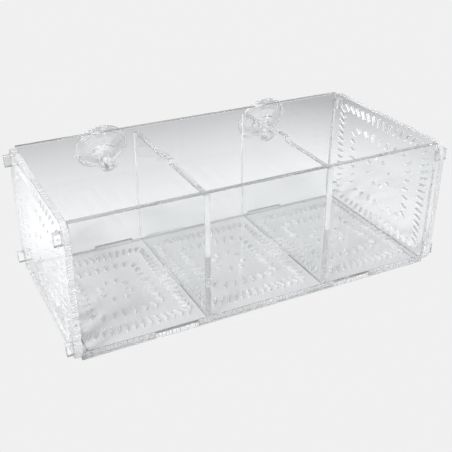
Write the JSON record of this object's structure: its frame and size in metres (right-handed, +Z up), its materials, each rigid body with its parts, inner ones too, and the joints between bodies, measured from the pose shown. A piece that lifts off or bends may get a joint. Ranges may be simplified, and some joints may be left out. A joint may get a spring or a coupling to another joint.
{
  "type": "fish breeding box",
  "caption": "Clear open-topped fish breeding box of plug-together sheet panels, slotted floor and ends, lift-out dividers and suction cups behind the back.",
  "frame": {"origin": "middle of the underside of the floor, on the surface that the box stands on", "axes": "+X to the right along the width, +Y towards the back panel with the suction cups, +Z up"},
  "size_m": [0.207, 0.111, 0.0721],
  "materials": {
    "clear_acrylic": "polished clear sheet with cut edges",
    "clear_vinyl": "soft glossy clear moulding"
  },
  "bodies": {
    "box": {"floor_panel": "clear_acrylic", "front_panel": "clear_acrylic", "back_panel": "clear_acrylic", "left_side_panel": "clear_acrylic", "right_side_panel": "clear_acrylic"},
    "left_divider": {"left_divider": "clear_acrylic"},
    "right_divider": {"right_divider": "clear_acrylic"},
    "left_suction_cup": {"left_suction_cup": "clear_vinyl"},
    "right_suction_cup": {"right_suction_cup": "clear_vinyl"}
  },
  "joints": [
    {"name": "left_divider_lift", "type": "slide", "parent": "box", "child": "left_divider", "axis": [0, 0, 1], "range_m": [0, 0.08]},
    {"name": "right_divider_lift", "type": "slide", "parent": "box", "child": "right_divider", "axis": [0, 0, 1], "range_m": [0, 0.08]},
    {"name": "left_cup_rock", "type": "hinge", "parent": "box", "child": "left_suction_cup", "pos_m": [-0.05, 0.0455, 0.054], "axis": [1, 0, 0], "range_deg": [-48, 0]},
    {"name": "right_cup_rock", "type": "hinge", "parent": "box", "child": "right_suction_cup", "pos_m": [0.05, 0.0455, 0.054], "axis": [1, 0, 0], "range_deg": [-48, 0]}
  ]
}
